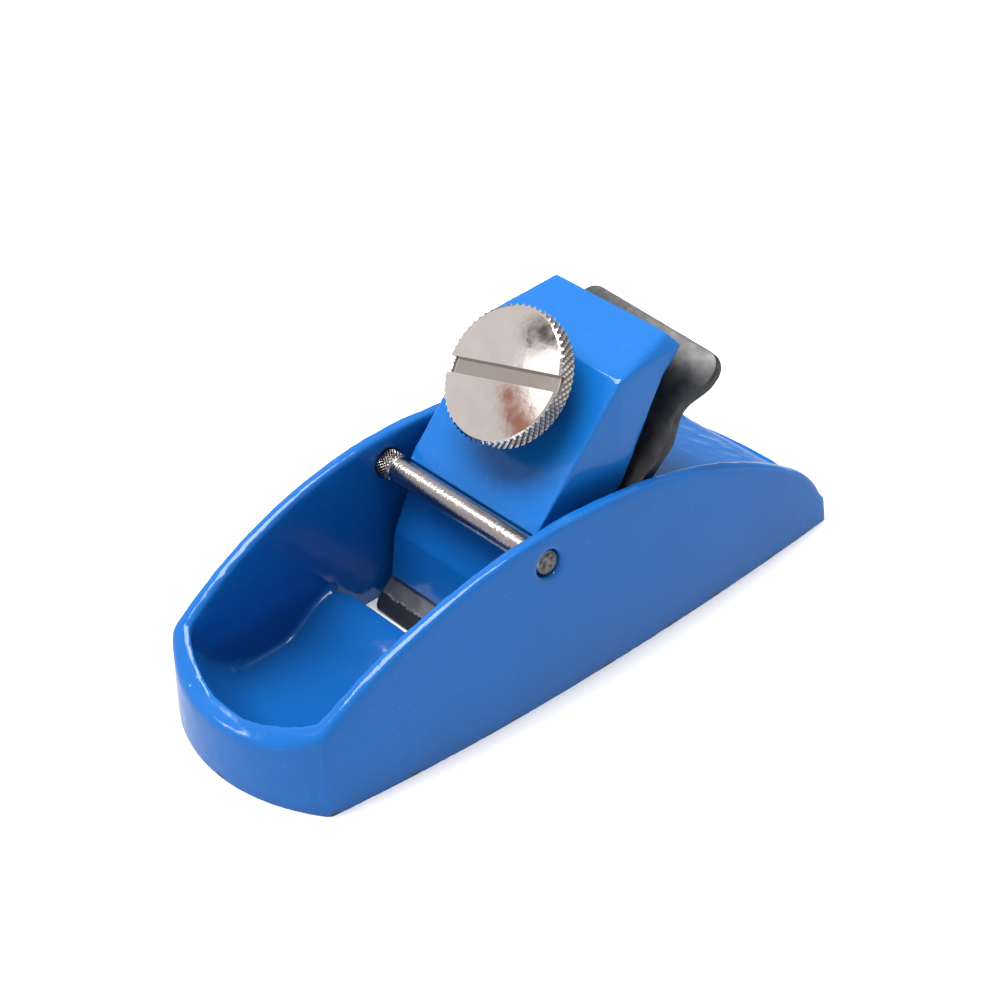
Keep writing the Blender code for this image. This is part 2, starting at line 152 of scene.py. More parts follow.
# Scales that bring a length in metres into the range 0 to 1 of a colour ramp.
DECIMETRES = 10.0
CENTIMETRES = 100.0
MILLIMETRES = 1000.0


# ---- mesh helpers --------------------------------------------------------------------------------
def add_mesh(name, bm, matrix=None):
    """A new object from this mesh, which is used up, with every face turned outwards."""
    bmesh.ops.recalc_face_normals(bm, faces=bm.faces)
    mesh = bpy.data.meshes.new(name)
    bm.to_mesh(mesh)
    bm.free()
    obj = bpy.data.objects.new(name, mesh)
    if matrix is not None:
        obj.matrix_world = matrix
    bpy.context.scene.collection.objects.link(obj)
    return obj


def frame_matrix(origin, x_axis, y_axis, z_axis):
    """Placement with this origin and these local axes."""
    rotation = Matrix((x_axis, y_axis, z_axis)).transposed().to_4x4()
    return Matrix.Translation(origin) @ rotation


def loft(name, rings):
    """A closed solid through rings that hold the same number of points."""
    bm = bmesh.new()
    loops = [[bm.verts.new(point) for point in ring] for ring in rings]
    count = len(rings[0])
    for lower, upper in zip(loops, loops[1:]):
        for i in range(count):
            j = (i + 1) % count
            bm.faces.new((lower[i], lower[j], upper[j], upper[i]))
    bm.faces.new(loops[0])
    bm.faces.new(loops[-1])
    return add_mesh(name, bm)


def flat_solid(name, outline, half_thickness, matrix):
    """A flat outline in the local XY plane, thickened to both sides."""
    low = [(x, y, -half_thickness) for x, y in outline]
    high = [(x, y, half_thickness) for x, y in outline]
    obj = loft(name, [low, high])
    obj.matrix_world = matrix
    return obj


def side_view():
    """Placement for outlines drawn as (x, z), to be thickened along Y."""
    return frame_matrix(ORIGIN, FORWARD, UP, -SIDEWAYS)


def bar(name, radius, start, end):
    """A round bar between two points."""
    direction = (end - start).normalized()
    bm = bmesh.new()
    bmesh.ops.create_cone(
        bm, cap_ends=True, segments=96, radius1=radius, radius2=radius, depth=(end - start).length)
    turn = direction.to_track_quat("Z", "Y").to_matrix().to_4x4()
    return add_mesh(name, bm, Matrix.Translation((start + end) / 2) @ turn)


def apply_modifiers(obj):
    """Keep the shape that the modifiers give, and drop them."""
    bpy.context.view_layer.update()
    graph = bpy.context.evaluated_depsgraph_get()
    mesh = bpy.data.meshes.new_from_object(obj.evaluated_get(graph), depsgraph=graph)
    obj.modifiers.clear()
    old = obj.data
    obj.data = mesh
    bpy.data.meshes.remove(old)


def combine(target, tool, operation="DIFFERENCE"):
    """Cut or join at once; the tool is used up."""
    modifier = target.modifiers.new(tool.name, "BOOLEAN")
    modifier.object = tool
    modifier.operation = operation
    modifier.solver = "EXACT"
    apply_modifiers(target)
    bpy.data.objects.remove(tool, do_unlink=True)


def read_points(mesh):
    """The mesh's points, one row each."""
    points = np.empty(len(mesh.vertices) * 3, np.float32)
    mesh.vertices.foreach_get("co", points)
    return points.reshape(-1, 3).astype(float)


def write_points(mesh, points):
    """Put changed points back."""
    mesh.vertices.foreach_set("co", points.astype(np.float32).ravel())
    mesh.update()


def read_normals(mesh):
    """The normals of the mesh's points, one row each."""
    normals = np.empty(len(mesh.vertices) * 3, np.float32)
    mesh.vertices.foreach_get("normal", normals)
    return normals.reshape(-1, 3)


def relax(mesh, rounds, share=0.5):
    """Draw each point towards its neighbours' mean, which rounds edges as casting and paint do."""
    points = read_points(mesh)
    count = len(points)
    ends = np.empty(len(mesh.edges) * 2, np.int32)
    mesh.edges.foreach_get("vertices", ends)
    first, second = ends.reshape(-1, 2).T
    degree = np.bincount(first, minlength=count) + np.bincount(second, minlength=count)
    for _ in range(rounds):
        for k in range(3):
            column = points[:, k]
            total = np.bincount(first, column[second], count) + np.bincount(second, column[first], count)
            points[:, k] = column + share * (total / degree - column)
    write_points(mesh, points)


def cast_mesh(obj, voxel):
    """Even small faces all over a closed solid."""
    remesh = obj.modifiers.new("remesh", "REMESH")
    remesh.mode = "VOXEL"
    remesh.voxel_size = voxel
    apply_modifiers(obj)


def wavy(mesh, height, scale):
    """The slight waviness of a casting under thick enamel."""
    points = read_points(mesh)
    waves = np.array([noise.noise(Vector(point) * scale) for point in points])
    write_points(mesh, points + read_normals(mesh) * (waves * height)[:, None])


def bake_placement(obj):
    """Move the placement into the points, so that the piece's box is square to the world."""
    obj.data.transform(obj.matrix_world)
    obj.matrix_world = Matrix.Identity(4)


def smooth(obj, angle):
    """Smooth shading, with creases kept where faces meet at more than this angle."""
    obj.data.shade_smooth()
    obj.data.set_sharp_from_angle(angle=angle)


def arc(centre, radius, start, end, steps):
    """Points along an arc, angles in degrees."""
    points = []
    for i in range(steps + 1):
        angle = math.radians(start + (end - start) * i / steps)
        points.append((centre[0] + radius * math.cos(angle), centre[1] + radius * math.sin(angle)))
    return points


# ---- body ------------------------------------------------------------------------------------------
def half_width(x):
    """Half the width of the body at station x, at the sole."""
    bow = FRONT_BOW if x > WIDEST_X else REAR_BOW
    return WIDEST_HALF - bow * (x - WIDEST_X) ** 2


def end_arc(corner_x, half, tip_x, steps):
    """Plan of the toe or heel: an arc through both corners and the tip, its centre and its radius."""
    rise = abs(tip_x - corner_x)
    radius = (half ** 2 + rise ** 2) / (2 * rise)
    outward = 1 if tip_x > corner_x else -1
    centre_x = tip_x - outward * radius
    spread = math.asin(half / radius)
    points = []
    for i in range(steps + 1):
        angle = spread * (2 * i / steps - 1)
        points.append((centre_x + outward * radius * math.cos(angle), radius * math.sin(angle)))
    return points, centre_x, radius


def side_stations(front_x, rear_x):
    """Stations along a side, without the two ends."""
    steps = 60
    return [front_x + (rear_x - front_x) * i / steps for i in range(1, steps)]


def hull_ring(height):
    """Outline of the body; below the sole it goes straight down, to be cut flat later."""
    lean = DRAFT * max(height, 0)
    toe, _, _ = end_arc(TOE_CORNER_X, half_width(TOE_CORNER_X), HALF_LENGTH, 60)
    heel, _, _ = end_arc(HEEL_CORNER_X, half_width(HEEL_CORNER_X), -HALF_LENGTH, 30)
    left = [(x, half_width(x)) for x in side_stations(TOE_CORNER_X, HEEL_CORNER_X)]
    right = [(x, -y) for x, y in reversed(left)]
    plan = toe + left + heel[::-1] + right
    return [(x, y * (1 - lean / half_width(x)), height) for x, y in plan]


def well_ring(height):
    """Outline of the space between the walls; its front follows the lip and the scoop."""
    _, centre_x, toe_radius = end_arc(TOE_CORNER_X, half_width(TOE_CORNER_X), HALF_LENGTH, 2)
    rise = min(max((height - FLOOR_Z) / (LIP_Z - FLOOR_Z), 0), 1)
    radius = toe_radius - LIP_WIDTH - SCOOP_RUN * (1 - math.sqrt(rise))
    # Step forward to where the arc meets the inside of the wall.
    corner_x = centre_x
    while math.hypot(corner_x - centre_x, half_width(corner_x) - WALL) < radius:
        corner_x += 0.02 * MM
    front_angle = math.degrees(math.atan2(half_width(corner_x) - WALL, corner_x - centre_x))
    front = arc((centre_x, 0), radius, -front_angle, front_angle, 60)
    rear_x = -HALF_LENGTH - 4 * MM
    left = [(x, half_width(x) - WALL) for x in side_stations(corner_x, rear_x)]
    left.append((rear_x, half_width(rear_x) - WALL))
    right = [(x, -y) for x, y in reversed(left)]
    return [(x, y, height) for x, y in front + left + right]


def on_blade(along, above=0.0):
    """Side-view point at a distance up the blade's front face and above it."""
    point = Vector((BLADE_FOOT_X, 0, 0)) + BED_UP * along + BED_NORMAL * above
    return point.x, point.z


def scoop_outline():
    """Side view of everything that is open between the walls, apart from the mouth."""
    hump = []
    for i in range(33):
        part = i / 32
        x = HUMP_START_X + (HUMP_END_X - HUMP_START_X) * part
        hump.append((x, FLOOR_Z + (HUMP_Z - FLOOR_Z) * part * part * (3 - 2 * part)))
    bed_slope = math.tan(BED_ANGLE)
    bed_foot = BLADE_FOOT_X - (BLADE_THICKNESS + GAP) / math.sin(BED_ANGLE)
    slope = math.tan(RAMP_ANGLE)
    ridge_x = (bed_foot * bed_slope - HEEL_Z + slope * HEEL_EDGE_X) / (bed_slope + slope)
    ridge_z = (bed_foot - ridge_x) * bed_slope
    rear_x = -HALF_LENGTH - PAST_ENDS
    above = 30 * MM
    below = -4 * MM
    front_x = HALF_LENGTH + PAST_ENDS
    return (
        [(front_x, above), (front_x, FLOOR_Z)] + hump
        + [(MOUTH_FRONT_X, HUMP_Z), (MOUTH_FRONT_X, below), (bed_foot, below), (bed_foot, 0)]
        + [(ridge_x, ridge_z), (rear_x, HEEL_Z + slope * (rear_x - HEEL_EDGE_X)), (rear_x, above)]
    )


def mouth_ends_outline():
    """Plan of the mouth's front: straight, with the hump's corners rounded off at the walls."""
    half = half_width(MOUTH_FRONT_X) - WALL
    corner_x = MOUTH_FRONT_X + MOUTH_CORNER
    near = arc((corner_x, half - MOUTH_CORNER), MOUTH_CORNER, 90, 180, 16)
    far = [(x, -y) for x, y in reversed(near)]
    rear_x = MOUTH_FRONT_X - 4 * MM
    return near + far + [(rear_x, -half), (rear_x, half)]


def wall_top(x):
    """Height of the wall tops at station x; behind HEEL_ARC_X they drop on a tighter arc."""
    if x < HEEL_ARC_X:
        turn = math.acos((HEEL_ARC_X - PEAK_X) / REAR_ARC)
        centre_x = PEAK_X + (REAR_ARC - HEEL_ARC) * math.cos(turn)
        centre_z = PEAK_Z - REAR_ARC + (REAR_ARC - HEEL_ARC) * math.sin(turn)
        return max(centre_z + math.sqrt(max(HEEL_ARC ** 2 - (x - centre_x) ** 2, 0)), WALL_END_Z)
    radius = FRONT_ARC if x > PEAK_X else REAR_ARC
    return PEAK_Z - radius + math.sqrt(max(radius ** 2 - (x - PEAK_X) ** 2, 0))


def above_walls_outline(loss):
    """Side view of the space above the wall tops and the lip."""
    top = 32 * MM
    front_x = HALF_LENGTH + PAST_ENDS
    rear_x = -HALF_LENGTH - 1.5 * MM
    step = 0.5 * MM
    points = [(front_x, top), (front_x, LIP_Z + loss)]
    x = HALF_LENGTH
    while x > rear_x:
        height = wall_top(x)
        if height > LIP_Z or x < 0:
            points.append((x, height + loss))
        x -= step
    return points + [(rear_x, top)]


def make_body():
    """The casting: a boat shaped hull less what is above the walls, the well, the mouth and two holes."""
    below = -2 * MM
    body = loft("plane_casting", [hull_ring(below), hull_ring(0), hull_ring(PEAK_Z + 2 * MM)])
    levels = [FLOOR_Z + (LIP_Z - FLOOR_Z) * (i / 16) ** 2 for i in range(17)]
    well = loft("well", [well_ring(z) for z in [-5 * MM] + levels + [33 * MM]])
    combine(well, flat_solid("scoop", scoop_outline(), TOOL_REACH, side_view()), "INTERSECT")
    # Rounding the edges takes this much off the wall tops.
    edge_loss = 0.2 * MM
    combine(body, flat_solid("above", above_walls_outline(edge_loss), TOOL_REACH, side_view()))
    combine(body, well)
    ends = flat_solid("mouth_ends", mouth_ends_outline(), 8 * MM, Matrix.Identity(4))
    combine(body, ends)
    centre = Vector((PIN_X, 0, PIN_Z))
    combine(body, bar("near_hole", PIN_HOLE_RADIUS, centre, centre + SIDEWAYS * TOOL_REACH))
    combine(body, bar("far_hole", COLLAR_HOLE_RADIUS, centre - SIDEWAYS * TOOL_REACH, centre))
    cast_mesh(body, voxel=0.24 * MM)
    relax(body.data, rounds=12)
    # The tops of the walls and the lip are rounder than the other edges.
    points = read_points(body.data)
    tops = np.array([max(wall_top(x), LIP_Z if x > 0 else 0) for x in points[:, 0]])
    rounder_below = 2.2 * MM
    blend = 1.2 * MM
    near_top = np.clip((points[:, 2] - tops + rounder_below) / blend, 0, 1)
    relax(body.data, rounds=22, share=0.5 * near_top)
    wavy(body.data, height=0.03 * MM, scale=420)
    add_nibs(body.data)
    flatten_sole(body)
    return body


def add_nibs(mesh):
    """A few dust specks and runs under the paint: (place, radius, height) in millimetres."""
    nibs = [
        ((33.2, -11.6, 2.4), 0.45, 0.22), ((31.8, -12.2, 2.5), 0.35, 0.18),
        ((17.2, -13.0, 5.2), 0.5, 0.2), ((42.9, -6.5, 8.2), 0.3, 0.12),
        ((-30.5, 6.0, 10.1), 0.35, 0.15), ((-38.0, -4.0, 7.0), 0.3, 0.12),
        ((22.0, 3.0, 2.6), 0.25, 0.1), ((-14.0, 12.5, 19.6), 0.5, 0.15),
    ]
    points = read_points(mesh)
    normals = read_normals(mesh)
    for place, radius, height in nibs:
        distance = np.linalg.norm(points - np.array(place) * MM, axis=1)
        nearest = points[distance.argmin()]
        distance = np.linalg.norm(points - nearest, axis=1)
        points += normals * (height * MM * np.exp(-(distance / (radius * MM)) ** 2))[:, None]
    write_points(mesh, points)


def flatten_sole(obj):
    """Bring everything below the sole up to it, keep within the CAD box, and merge what falls together."""
    points = read_points(obj.data)
    points[:, 2] = np.maximum(points[:, 2], 0)
    points[:, 0] = np.clip(points[:, 0], -HALF_LENGTH, HALF_LENGTH)
    points[:, 1] = np.clip(points[:, 1], -WIDEST_HALF, WIDEST_HALF)
    write_points(obj.data, points)
    bm = bmesh.new()
    bm.from_mesh(obj.data)
    low = [vertex for vertex in bm.verts if vertex.co.z < 1e-7]
    bmesh.ops.remove_doubles(bm, verts=low, dist=0.06 * MM)
    bmesh.ops.dissolve_degenerate(bm, dist=1e-6, edges=bm.edges)
    bm.to_mesh(obj.data)
    bm.free()


# ---- blade -----------------------------------------------------------------------------------------
def blade_outline():
    """Outline about the skew's centre; it runs past the cutting edge, which the bevel then cuts."""
    # The first points round the corner at the cutting edge.
    side = [(BLADE_HALF - 2.2 * MM, BLADE_EDGE - 1.5 * MM), (BLADE_HALF - 0.45 * MM, BLADE_EDGE - 0.3 * MM),
            (BLADE_HALF - 0.1 * MM, BLADE_EDGE + 0.4 * MM), (BLADE_HALF, BLADE_EDGE + 1.0 * MM),
            (BLADE_HALF, WAIST_START)]
    steps = 36
    for i in range(1, steps):
        part = i / steps
        inward = WAIST_DEPTH * (0.5 - 0.5 * math.cos(2 * math.pi * part))
        side.append((BLADE_HALF - inward, WAIST_START + (WAIST_END - WAIST_START) * part))
    side.append((BLADE_HALF, WAIST_END))
    side += arc((BLADE_HALF - BLADE_CORNER, BLADE_TOP - BLADE_CORNER), BLADE_CORNER, 0, 90, 24)
    side = [(y, along - SKEW_CENTRE) for y, along in side]
    return side + [(-y, along) for y, along in reversed(side)]


def paint_blade_sides(obj):
    """Local Z is still the blade's normal here: what doesn't face along it is an edge."""
    obj.data.materials.append(blade_steel())
    obj.data.materials.append(blade_sides())
    for polygon in obj.data.polygons:
        if abs(polygon.normal.z) < 0.75:
            polygon.material_index = 1


def blade_frame():
    """Local X across the blade, Y up along it and Z out of its front face."""
    x, z = on_blade(SKEW_CENTRE)
    front_face = frame_matrix(Vector((x, BLADE_SHIFT, z)), SIDEWAYS, BED_UP, BED_NORMAL)
    return front_face @ Matrix.Rotation(-BLADE_SKEW, 4, "Z")


def edge_frame():
    """At the +Y corner of the cutting edge, with local X along the edge and Y up the blade."""
    corner = Matrix.Translation((BLADE_HALF, BLADE_EDGE - SKEW_CENTRE, 0))
    return blade_frame() @ corner @ Matrix.Rotation(EDGE_TURN, 4, "Z")


def make_blade():
    """The cutter, with softened edges; a wedge that runs out behind the edge grinds the bevel."""
    outline = blade_outline()
    low = [(x, y, -BLADE_THICKNESS) for x, y in outline]
    high = [(x, y, 0) for x, y in outline]
    blade = loft("cutter", [low, high])
    blade.matrix_world = blade_frame()
    soften = blade.modifiers.new("edges", "BEVEL")
    soften.width = 0.14 * MM
    soften.segments = 2
    soften.limit_method = "ANGLE"
    soften.angle_limit = math.radians(50)
    apply_modifiers(blade)
    run = 6 * MM
    drop = math.tan(BEVEL_ANGLE)
    wedge = [(-run, run * drop), (run, -run * drop), (run, -2 * run), (-run, -2 * run)]
    across = frame_matrix(ORIGIN, SIDEWAYS, UP, FORWARD)
    combine(blade, flat_solid("bevel", wedge, 2 * TOOL_REACH, edge_frame() @ across))
    paint_blade_sides(blade)
    bake_placement(blade)
    smooth(blade, math.radians(30))
    return blade


# ---- lever cap ---------------------------------------------------------------------------------------
def cap_outline():
    """Side view: along the top to the groove for the pin, round the nose and back up the underside."""
    groove = arc((PIN_X, PIN_Z), PIN_RADIUS + GAP, 150, 232, 16)
    return (
        [(CAP_TAIL_X, CAP_TAIL_Z), (CAP_RIDGE_X, CAP_RIDGE_Z), (4.3 * MM, 20.9 * MM)] + groove
        + [(5.75 * MM, 15.2 * MM), (7.75 * MM, 10.2 * MM)]
        + [on_blade(4.9 * MM, 2 * GAP), on_blade(5.3 * MM, GAP), on_blade(7.9 * MM, GAP)]
        + [on_blade(10.3 * MM, CAP_RELIEF), on_blade(26.3 * MM, CAP_RELIEF)]
        + [(-9.04 * MM, 21.1 * MM), (-15.85 * MM, 31.96 * MM), (-19.3 * MM, 34.95 * MM)]
    )


def cap_half_width(x, z, top_taper):
    """Half the width of the cap: narrower behind and above its ridge, wider at its nose."""
    taper = CAP_REAR_TAPER * max(CAP_RIDGE_X - x, 0) + top_taper * max(z - CAP_RIDGE_Z, 0)
    flare = min(max((CAP_FLARE_Z - z) / (CAP_FLARE_Z - CAP_NOSE_Z), 0), 1)
    return CAP_HALF - taper + (CAP_NOSE_HALF - CAP_HALF) * flare


def fold_cap_sides(obj):
    """Set every point of the cap's sides to its half width, with clean folds where the taper changes."""
    bm = bmesh.new()
    bm.from_mesh(obj.data)
    ridge = Vector((CAP_RIDGE_X, CAP_RIDGE_Z, 0))
    folds = [(ridge, (1, 0, 0)), (ridge, (0, 1, 0)), (Vector((0, CAP_FLARE_Z, 0)), (0, 1, 0)),
             (Vector((0, CAP_NOSE_Z, 0)), (0, 1, 0))]
    bmesh.ops.triangulate(bm, faces=bm.faces)
    for point, direction in folds:
        everything = bm.verts[:] + bm.edges[:] + bm.faces[:]
        bmesh.ops.bisect_plane(bm, geom=everything, dist=1e-7, plane_co=point, plane_no=direction)
    for vertex in bm.verts:
        near = vertex.co.z < 0
        half = cap_half_width(vertex.co.x, vertex.co.y, CAP_TOP_TAPER_NEAR if near else CAP_TOP_TAPER_FAR)
        vertex.co.z = -half if near else half
    bm.to_mesh(obj.data)
    bm.free()


def round_upper_edge(mesh):
    """The edge between the top and the +Y side is rounder than the others."""
    start = np.array([CAP_RIDGE_X, CAP_RIDGE_Z, -CAP_HALF])
    end = np.array([CAP_TAIL_X, CAP_TAIL_Z, -CAP_TAIL_HALF])
    length = np.linalg.norm(end - start)
    along = (end - start) / length
    offset = read_points(mesh) - start
    reach = np.clip(offset @ along, 0.5 * MM, length)
    distance = np.linalg.norm(offset - reach[:, None] * along, axis=1)
    near_edge = np.clip(1.6 - distance / (1.0 * MM), 0, 1)
    relax(mesh, rounds=24, share=0.5 * near_edge)


def make_lever_cap():
    """The clamping wedge, with the hole that the stud runs in."""
    cap = flat_solid("cap_casting", cap_outline(), CAP_HALF, side_view())
    fold_cap_sides(cap)
    combine(cap, bar("stud_hole", STUD_HOLE_RADIUS, SCREW_FACE, SCREW_FACE - SCREW_AXIS * 25 * MM))
    cast_mesh(cap, voxel=0.2 * MM)
    relax(cap.data, rounds=5)
    round_upper_edge(cap.data)
    wavy(cap.data, height=0.012 * MM, scale=380)
    smooth(cap, math.radians(60))
    return cap


# ---- turned pieces -------------------------------------------------------------------------------------
def turned_grid(name, heights, radius_at, around, matrix):
    """A closed turned solid whose radius may change round the axis; heights run from top to bottom."""
    bm = bmesh.new()
    rings = []
    for height in heights:
        ring = []
        for i in range(around):
            angle = 2 * math.pi * i / around
            radius = radius_at(angle, height)
            ring.append(bm.verts.new((radius * math.cos(angle), radius * math.sin(angle), height)))
        rings.append(ring)
    for upper, lower in zip(rings, rings[1:]):
        for i in range(around):
            j = (i + 1) % around
            bm.faces.new((upper[i], lower[i], lower[j], upper[j]))
    bm.faces.new(rings[0])
    bm.faces.new(rings[-1][::-1])
    return add_mesh(name, bm, matrix)


def fill_top(obj, parts, point_at):
    """Build the top face anew from rings inside its rim; point_at says where a rim point goes on a ring."""
    bm = bmesh.new()
    bm.from_mesh(obj.data)
    bm.faces.ensure_lookup_table()
    top = max(bm.faces, key=lambda face: face.calc_center_median().z)
    rim = list(top.verts)
    bm.faces.remove(top)
    previous = rim
    for part in parts:
        ring = [bm.verts.new(point_at(vertex.co, part)) for vertex in rim]
        for i in range(len(rim)):
            j = (i + 1) % len(rim)
            bm.faces.new((previous[i], previous[j], ring[j], ring[i]))
        previous = ring
    bm.faces.new(previous)
    bmesh.ops.recalc_face_normals(bm, faces=bm.faces)
    bm.to_mesh(obj.data)
    bm.free()


def ridge(value):
    """1 on the crest and 0 in the groove of a row of straight V grooves."""
    return 2 * abs(value % 1 - 0.5)


def diamond_knurl(angle, height, teeth, pitch):
    """1 on the points and 0 in the grooves of two sets of grooves that cross."""
    turns = teeth * angle / (2 * math.pi)
    return min(ridge(turns + height / pitch), ridge(turns - height / pitch))


def screw_frame():
    """On the screw's axis, with local Z outwards and the origin at the centre of the head's face."""
    return frame_matrix(SCREW_FACE, SIDEWAYS.cross(SCREW_AXIS), SIDEWAYS, SCREW_AXIS)


def spaced(start, end, steps):
    """Evenly spaced values, with both ends."""
    return [start + (end - start) * i / steps for i in range(steps + 1)]


def make_screw_head():
    """Knurled disc: a domed polished face, a narrow chamfer and crossed knurling round the rim."""
    knurl_depth = 0.42 * MM
    chamfer = 0.38 * MM
    front_slope = 1.4
    dome = 0.16 * MM
    teeth = 58
    pitch = 0.92 * MM
    face_radius = HEAD_RADIUS - chamfer * front_slope

    def radius_at(angle, height):
        knurled = HEAD_RADIUS - knurl_depth * (1 - diamond_knurl(angle, height, teeth, pitch))
        from_face = -height - dome
        from_back = HEAD_THICKNESS + height
        front_cut = face_radius + from_face * front_slope
        back_cut = HEAD_RADIUS - chamfer + from_back
        return min(knurled, front_cut, back_cut)

    def on_dome(rim_point, part):
        direction = Vector((rim_point.x, rim_point.y, 0)).normalized()
        point = direction * face_radius * part
        return point.x, point.y, -dome * part * part

    heights = spaced(-dome, -HEAD_THICKNESS, 36)
    head = turned_grid("screw_head", heights, radius_at, teeth * 10, screw_frame())
    fill_top(head, (0.96, 0.9, 0.8, 0.65, 0.5, 0.35, 0.2, 0.08), on_dome)
    block = bmesh.new()
    bmesh.ops.create_cube(block, size=1.0)
    bmesh.ops.scale(block, vec=(SLOT_WIDTH, 4 * HEAD_RADIUS, 2 * SLOT_DEPTH), verts=block.verts)
    combine(head, add_mesh("slot", block, screw_frame() @ Matrix.Rotation(SLOT_TURN, 4, "Z")))
    back = SCREW_FACE - SCREW_AXIS * (HEAD_THICKNESS - SOCKET_DEPTH)
    combine(head, bar("socket", STUD_HOLE_RADIUS, back, back - SCREW_AXIS * PAST_ENDS))
    bake_placement(head)
    smooth(head, math.radians(28))
    return head


def make_stud():
    """The threaded shank with its plain point."""
    top = -(HEAD_THICKNESS - SOCKET_DEPTH + GAP)
    point_length = 1.2 * MM

    def radius_at(angle, height):
        turn = height / THREAD_PITCH + angle / (2 * math.pi)
        threaded = STUD_RADIUS - THREAD_DEPTH * (1 - min(1.15 * ridge(turn), 1))
        from_tip = height + STUD_TIP
        if from_tip < point_length:
            return min(STUD_POINT_RADIUS, STUD_POINT_RADIUS - 0.3 * MM + from_tip)
        return min(threaded, STUD_POINT_RADIUS + (from_tip - point_length) * 1.2)

    steps_per_turn = 10
    steps = int((STUD_TIP + top) / THREAD_PITCH * steps_per_turn)
    stud = turned_grid("screw_shank", spaced(top, -STUD_TIP, steps), radius_at, 48, screw_frame())
    bake_placement(stud)
    smooth(stud, math.radians(50))
    return stud


def make_pin():
    """The cross pin: plain shaft, knurled end beside the far wall, sheared near end."""
    placed = frame_matrix(Vector((PIN_X, 0, PIN_Z)), UP, FORWARD, SIDEWAYS)
    chamfer = 0.22 * MM
    knurl_depth = 0.22 * MM
    teeth = 26
    pitch = 0.55 * MM
    torn_height = 0.12 * MM
    shaft_end = -COLLAR_INNER_END + COLLAR_LEAD_IN

    def radius_at(angle, height):
        if height > shaft_end:
            return min(PIN_RADIUS, PIN_RADIUS - chamfer + (PIN_NEAR_END - height))
        if height > -COLLAR_INNER_END:
            part = (shaft_end - height) / COLLAR_LEAD_IN
            return PIN_RADIUS + (COLLAR_RADIUS - PIN_RADIUS) * part * 0.8
        knurled = COLLAR_RADIUS - knurl_depth * (1 - diamond_knurl(angle, height, teeth, pitch))
        return min(knurled, COLLAR_RADIUS - chamfer + (height + PIN_FAR_END))

    def on_torn_end(rim_point, part):
        point = Vector((rim_point.x * part, rim_point.y * part, PIN_NEAR_END))
        point.z += torn_height * noise.noise(point * 1400)
        return point

    heights = spaced(PIN_NEAR_END, PIN_NEAR_END - chamfer, 3) + spaced(13.5 * MM, -11.5 * MM, 20)
    heights += spaced(shaft_end, -PIN_FAR_END, 40)
    pin = turned_grid("pin", heights, radius_at, teeth * 8, placed)
    fill_top(pin, (0.9, 0.75, 0.6, 0.45, 0.3, 0.15), on_torn_end)
    bake_placement(pin)
    smooth(pin, math.radians(40))
    return pin


